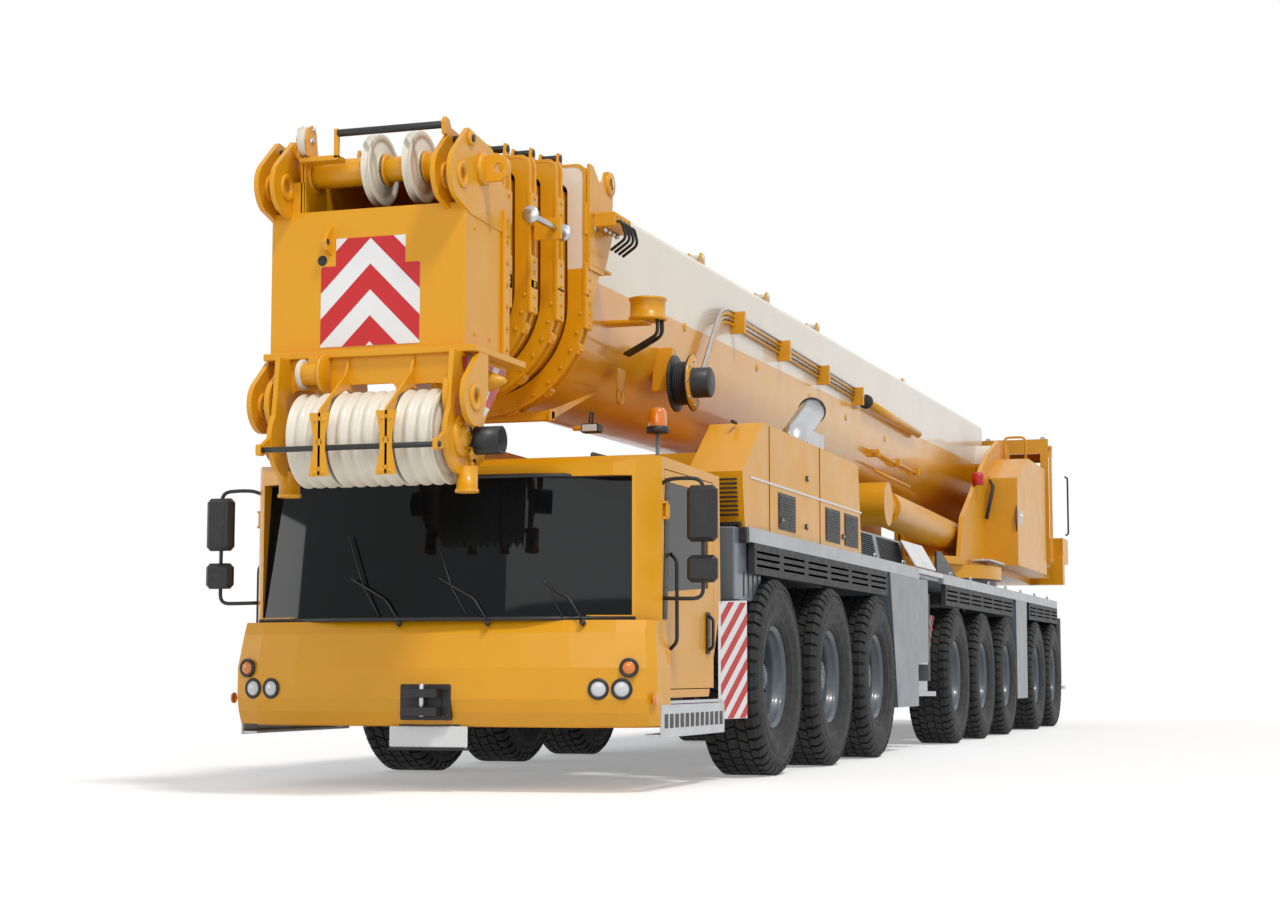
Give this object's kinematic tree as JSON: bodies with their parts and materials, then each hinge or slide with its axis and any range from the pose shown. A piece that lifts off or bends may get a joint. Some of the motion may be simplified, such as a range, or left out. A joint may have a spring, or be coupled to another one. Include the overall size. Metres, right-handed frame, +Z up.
{
  "type": "eight-axle all-terrain telescopic mobile crane",
  "caption": "All-terrain mobile crane stowed for the road: low cab, long telescopic boom over the carrier, sheave head ahead of the cab, turntable at the rear.",
  "frame": {"origin": "on the ground under the middle of the stowed crane, halfway between its foremost and rearmost points and on its centre line", "axes": "+X forward along the carrier, +Y to the crane's left, +Z up"},
  "size_m": [21.58, 3.44, 4.0742],
  "materials": {
    "crane_paint": "gloss warm yellow paint",
    "chassis_paint": "satin dark grey paint",
    "panel_paint": "satin blue-grey paint",
    "deck_aluminium": "brushed edge, chequered top",
    "arch_rubber": "moulded black rubber",
    "tyre_and_rim": "black tyre on a dark grey rim",
    "jack_steel": "ground steel",
    "rod_chrome": "hard chrome",
    "sheave_nylon": "cream cast nylon",
    "cab_glass": "dark tinted glass",
    "cab_trim": "grained dark plastic and cloth",
    "mirror_plastic": "grained black plastic"
  },
  "bodies": {
    "root": {"carrier_frame": "chassis_paint", "deck": "deck_aluminium", "side_panels": "panel_paint", "arch_flaps": "arch_rubber", "engine_hoods": "crane_paint", "driver_cab": "crane_paint", "cab_glass": "cab_glass", "cab_interior": "cab_trim", "mirrors_and_lamps": "mirror_plastic"},
    "turntable": {"turntable": "crane_paint", "crane_cab": "crane_paint"},
    "boom_base": {"boom_base": "crane_paint"},
    "crane_cab_door": {"crane_cab_door": "crane_paint"},
    "door_left": {"door_left": "crane_paint"},
    "door_right": {"door_right": "crane_paint"},
    "jack_front_left": {"jack_front_left": "jack_steel"},
    "jack_front_right": {"jack_front_right": "jack_steel"},
    "jack_rear_left": {"jack_rear_left": "jack_steel"},
    "jack_rear_right": {"jack_rear_right": "jack_steel"},
    "knuckle_1_left": {"knuckle_1_left": "chassis_paint"},
    "knuckle_1_right": {"knuckle_1_right": "chassis_paint"},
    "knuckle_2_left": {"knuckle_2_left": "chassis_paint"},
    "knuckle_2_right": {"knuckle_2_right": "chassis_paint"},
    "knuckle_3_left": {"knuckle_3_left": "chassis_paint"},
    "knuckle_3_right": {"knuckle_3_right": "chassis_paint"},
    "knuckle_6_left": {"knuckle_6_left": "chassis_paint"},
    "knuckle_6_right": {"knuckle_6_right": "chassis_paint"},
    "knuckle_7_left": {"knuckle_7_left": "chassis_paint"},
    "knuckle_7_right": {"knuckle_7_right": "chassis_paint"},
    "knuckle_8_left": {"knuckle_8_left": "chassis_paint"},
    "knuckle_8_right": {"knuckle_8_right": "chassis_paint"},
    "luffing_barrels": {"luffing_barrels": "crane_paint"},
    "luffing_rods": {"luffing_rods": "rod_chrome"},
    "outrigger_front_left": {"outrigger_front_left": "chassis_paint"},
    "outrigger_front_right": {"outrigger_front_right": "chassis_paint"},
    "outrigger_rear_left": {"outrigger_rear_left": "chassis_paint"},
    "outrigger_rear_right": {"outrigger_rear_right": "chassis_paint"},
    "sheaves_bottom": {"sheaves_bottom": "sheave_nylon"},
    "sheaves_top": {"sheaves_top": "sheave_nylon"},
    "tele_1": {"tele_1": "crane_paint"},
    "tele_2": {"tele_2": "crane_paint"},
    "tele_3": {"tele_3": "crane_paint"},
    "tele_4": {"tele_4": "crane_paint"},
    "wheel_1_left": {"wheel_1_left": "tyre_and_rim"},
    "wheel_1_right": {"wheel_1_right": "tyre_and_rim"},
    "wheel_2_left": {"wheel_2_left": "tyre_and_rim"},
    "wheel_2_right": {"wheel_2_right": "tyre_and_rim"},
    "wheel_3_left": {"wheel_3_left": "tyre_and_rim"},
    "wheel_3_right": {"wheel_3_right": "tyre_and_rim"},
    "wheel_4_left": {"wheel_4_left": "tyre_and_rim"},
    "wheel_4_right": {"wheel_4_right": "tyre_and_rim"},
    "wheel_5_left": {"wheel_5_left": "tyre_and_rim"},
    "wheel_5_right": {"wheel_5_right": "tyre_and_rim"},
    "wheel_6_left": {"wheel_6_left": "tyre_and_rim"},
    "wheel_6_right": {"wheel_6_right": "tyre_and_rim"},
    "wheel_7_left": {"wheel_7_left": "tyre_and_rim"},
    "wheel_7_right": {"wheel_7_right": "tyre_and_rim"},
    "wheel_8_left": {"wheel_8_left": "tyre_and_rim"},
    "wheel_8_right": {"wheel_8_right": "tyre_and_rim"},
    "winch_drum": {"winch_drum": "crane_paint"}
  },
  "joints": [
    {"name": "steer_1_left", "type": "hinge", "parent": "root", "child": "knuckle_1_left", "pos_m": [6.66, 1.1, 0.688], "axis": [0, 0, 1], "range_deg": [-30, 30]},
    {"name": "spin_1_left", "type": "hinge", "parent": "knuckle_1_left", "child": "wheel_1_left", "pos_m": [6.66, 1.275, 0.688], "axis": [0, 1, 0], "continuous": true},
    {"name": "steer_1_right", "type": "hinge", "parent": "root", "child": "knuckle_1_right", "pos_m": [6.66, -1.1, 0.688], "axis": [0, 0, 1], "range_deg": [-30, 30]},
    {"name": "spin_1_right", "type": "hinge", "parent": "knuckle_1_right", "child": "wheel_1_right", "pos_m": [6.66, -1.275, 0.688], "axis": [0, 1, 0], "continuous": true},
    {"name": "steer_2_left", "type": "hinge", "parent": "root", "child": "knuckle_2_left", "pos_m": [4.95, 1.1, 0.688], "axis": [0, 0, 1], "range_deg": [-23.7, 23.7]},
    {"name": "spin_2_left", "type": "hinge", "parent": "knuckle_2_left", "child": "wheel_2_left", "pos_m": [4.95, 1.275, 0.688], "axis": [0, 1, 0], "continuous": true},
    {"name": "steer_2_right", "type": "hinge", "parent": "root", "child": "knuckle_2_right", "pos_m": [4.95, -1.1, 0.688], "axis": [0, 0, 1], "range_deg": [-23.7, 23.7]},
    {"name": "spin_2_right", "type": "hinge", "parent": "knuckle_2_right", "child": "wheel_2_right", "pos_m": [4.95, -1.275, 0.688], "axis": [0, 1, 0], "continuous": true},
    {"name": "steer_3_left", "type": "hinge", "parent": "root", "child": "knuckle_3_left", "pos_m": [3.24, 1.1, 0.688], "axis": [0, 0, 1], "range_deg": [-17.4, 17.4]},
    {"name": "spin_3_left", "type": "hinge", "parent": "knuckle_3_left", "child": "wheel_3_left", "pos_m": [3.24, 1.275, 0.688], "axis": [0, 1, 0], "continuous": true},
    {"name": "steer_3_right", "type": "hinge", "parent": "root", "child": "knuckle_3_right", "pos_m": [3.24, -1.1, 0.688], "axis": [0, 0, 1], "range_deg": [-17.4, 17.4]},
    {"name": "spin_3_right", "type": "hinge", "parent": "knuckle_3_right", "child": "wheel_3_right", "pos_m": [3.24, -1.275, 0.688], "axis": [0, 1, 0], "continuous": true},
    {"name": "spin_4_left", "type": "hinge", "parent": "root", "child": "wheel_4_left", "pos_m": [-0.69, 1.275, 0.688], "axis": [0, 1, 0], "continuous": true},
    {"name": "spin_4_right", "type": "hinge", "parent": "root", "child": "wheel_4_right", "pos_m": [-0.69, -1.275, 0.688], "axis": [0, 1, 0], "continuous": true},
    {"name": "spin_5_left", "type": "hinge", "parent": "root", "child": "wheel_5_left", "pos_m": [-2.4, 1.275, 0.688], "axis": [0, 1, 0], "continuous": true},
    {"name": "spin_5_right", "type": "hinge", "parent": "root", "child": "wheel_5_right", "pos_m": [-2.4, -1.275, 0.688], "axis": [0, 1, 0], "continuous": true},
    {"name": "steer_6_left", "type": "hinge", "parent": "root", "child": "knuckle_6_left", "pos_m": [-4.11, 1.1, 0.688], "axis": [0, 0, 1], "range_deg": [-9.3, 9.3]},
    {"name": "spin_6_left", "type": "hinge", "parent": "knuckle_6_left", "child": "wheel_6_left", "pos_m": [-4.11, 1.275, 0.688], "axis": [0, 1, 0], "continuous": true},
    {"name": "steer_6_right", "type": "hinge", "parent": "root", "child": "knuckle_6_right", "pos_m": [-4.11, -1.1, 0.688], "axis": [0, 0, 1], "range_deg": [-9.3, 9.3]},
    {"name": "spin_6_right", "type": "hinge", "parent": "knuckle_6_right", "child": "wheel_6_right", "pos_m": [-4.11, -1.275, 0.688], "axis": [0, 1, 0], "continuous": true},
    {"name": "steer_7_left", "type": "hinge", "parent": "root", "child": "knuckle_7_left", "pos_m": [-6.64, 1.1, 0.688], "axis": [0, 0, 1], "range_deg": [-18.6, 18.6]},
    {"name": "spin_7_left", "type": "hinge", "parent": "knuckle_7_left", "child": "wheel_7_left", "pos_m": [-6.64, 1.275, 0.688], "axis": [0, 1, 0], "continuous": true},
    {"name": "steer_7_right", "type": "hinge", "parent": "root", "child": "knuckle_7_right", "pos_m": [-6.64, -1.1, 0.688], "axis": [0, 0, 1], "range_deg": [-18.6, 18.6]},
    {"name": "spin_7_right", "type": "hinge", "parent": "knuckle_7_right", "child": "wheel_7_right", "pos_m": [-6.64, -1.275, 0.688], "axis": [0, 1, 0], "continuous": true},
    {"name": "steer_8_left", "type": "hinge", "parent": "root", "child": "knuckle_8_left", "pos_m": [-8.27, 1.1, 0.688], "axis": [0, 0, 1], "range_deg": [-24.6, 24.6]},
    {"name": "spin_8_left", "type": "hinge", "parent": "knuckle_8_left", "child": "wheel_8_left", "pos_m": [-8.27, 1.275, 0.688], "axis": [0, 1, 0], "continuous": true},
    {"name": "steer_8_right", "type": "hinge", "parent": "root", "child": "knuckle_8_right", "pos_m": [-8.27, -1.1, 0.688], "axis": [0, 0, 1], "range_deg": [-24.6, 24.6]},
    {"name": "spin_8_right", "type": "hinge", "parent": "knuckle_8_right", "child": "wheel_8_right", "pos_m": [-8.27, -1.275, 0.688], "axis": [0, 1, 0], "continuous": true},
    {"name": "door_left_hinge", "type": "hinge", "parent": "root", "child": "door_left", "pos_m": [8.996, 1.378, 1.3], "axis": [0, 0, -1], "range_deg": [0, 70]},
    {"name": "door_right_hinge", "type": "hinge", "parent": "root", "child": "door_right", "pos_m": [8.996, -1.378, 1.3], "axis": [0, 0, 1], "range_deg": [0, 70]},
    {"name": "extend_front_left", "type": "slide", "parent": "root", "child": "outrigger_front_left", "axis": [0, 1, 0], "range_m": [0, 1.9]},
    {"name": "lower_front_left", "type": "slide", "parent": "outrigger_front_left", "child": "jack_front_left", "axis": [0, 0, -1], "range_m": [0, 0.6]},
    {"name": "extend_front_right", "type": "slide", "parent": "root", "child": "outrigger_front_right", "axis": [0, -1, 0], "range_m": [0, 1.9]},
    {"name": "lower_front_right", "type": "slide", "parent": "outrigger_front_right", "child": "jack_front_right", "axis": [0, 0, -1], "range_m": [0, 0.6]},
    {"name": "extend_rear_left", "type": "slide", "parent": "root", "child": "outrigger_rear_left", "axis": [0, 1, 0], "range_m": [0, 1.9]},
    {"name": "lower_rear_left", "type": "slide", "parent": "outrigger_rear_left", "child": "jack_rear_left", "axis": [0, 0, -1], "range_m": [0, 0.6]},
    {"name": "extend_rear_right", "type": "slide", "parent": "root", "child": "outrigger_rear_right", "axis": [0, -1, 0], "range_m": [0, 1.9]},
    {"name": "lower_rear_right", "type": "slide", "parent": "outrigger_rear_right", "child": "jack_rear_right", "axis": [0, 0, -1], "range_m": [0, 0.6]},
    {"name": "slew", "type": "hinge", "parent": "root", "child": "turntable", "pos_m": [-4.74, 0, 1.83], "axis": [0, 0, 1], "continuous": true},
    {"name": "luff", "type": "hinge", "parent": "turntable", "child": "boom_base", "pos_m": [-7.54, 0, 3.5], "axis": [0, -1, 0], "range_deg": [0, 82]},
    {"name": "extend_tele_1", "type": "slide", "parent": "boom_base", "child": "tele_1", "axis": [0.9999, 0, -0.0122], "range_m": [0, 9.4]},
    {"name": "extend_tele_2", "type": "slide", "parent": "tele_1", "child": "tele_2", "axis": [0.9999, 0, -0.0122], "range_m": [0, 9.4]},
    {"name": "extend_tele_3", "type": "slide", "parent": "tele_2", "child": "tele_3", "axis": [0.9999, 0, -0.0122], "range_m": [0, 9.4]},
    {"name": "extend_tele_4", "type": "slide", "parent": "tele_3", "child": "tele_4", "axis": [0.9999, 0, -0.0122], "range_m": [0, 9.4]},
    {"name": "spin_sheaves_top", "type": "hinge", "parent": "tele_4", "child": "sheaves_top", "pos_m": [10.54, 0, 3.625], "axis": [0, 1, 0], "continuous": true},
    {"name": "spin_sheaves_bottom", "type": "hinge", "parent": "tele_4", "child": "sheaves_bottom", "pos_m": [10.44, 0, 2.03], "axis": [0, 1, 0], "continuous": true},
    {"name": "spin_winch", "type": "hinge", "parent": "turntable", "child": "winch_drum", "pos_m": [-9.14, 0, 2.64], "axis": [0, 1, 0], "continuous": true},
    {"name": "slide_crane_cab_door", "type": "slide", "parent": "turntable", "child": "crane_cab_door", "axis": [-0.9918, -0.1275, 0], "range_m": [0, 0.6]},
    {"name": "swing_luffing_barrels", "type": "hinge", "parent": "turntable", "child": "luffing_barrels", "pos_m": [-5.54, 0, 2.35], "axis": [0, -1, 0], "range_deg": [0, 88.84]},
    {"name": "stroke_luffing_rods", "type": "slide", "parent": "luffing_barrels", "child": "luffing_rods", "axis": [0.9999, 0, 0.0173], "range_m": [0, 2.9368]}
  ],
  "couplings": [
    {"joint": "steer_1_right", "follows": "steer_1_left", "ratio": 1},
    {"joint": "steer_2_left", "follows": "steer_1_left", "ratio": 0.79},
    {"joint": "steer_2_right", "follows": "steer_1_left", "ratio": 0.79},
    {"joint": "steer_3_left", "follows": "steer_1_left", "ratio": 0.58},
    {"joint": "steer_3_right", "follows": "steer_1_left", "ratio": 0.58},
    {"joint": "steer_6_left", "follows": "steer_1_left", "ratio": -0.31},
    {"joint": "steer_6_right", "follows": "steer_1_left", "ratio": -0.31},
    {"joint": "steer_7_left", "follows": "steer_1_left", "ratio": -0.62},
    {"joint": "steer_7_right", "follows": "steer_1_left", "ratio": -0.62},
    {"joint": "steer_8_left", "follows": "steer_1_left", "ratio": -0.82},
    {"joint": "steer_8_right", "follows": "steer_1_left", "ratio": -0.82},
    {"joint": "swing_luffing_barrels", "follows": "luff", "ratio": 1.081},
    {"joint": "stroke_luffing_rods", "follows": "luff", "m_per_rad": 2.0485}
  ]
}
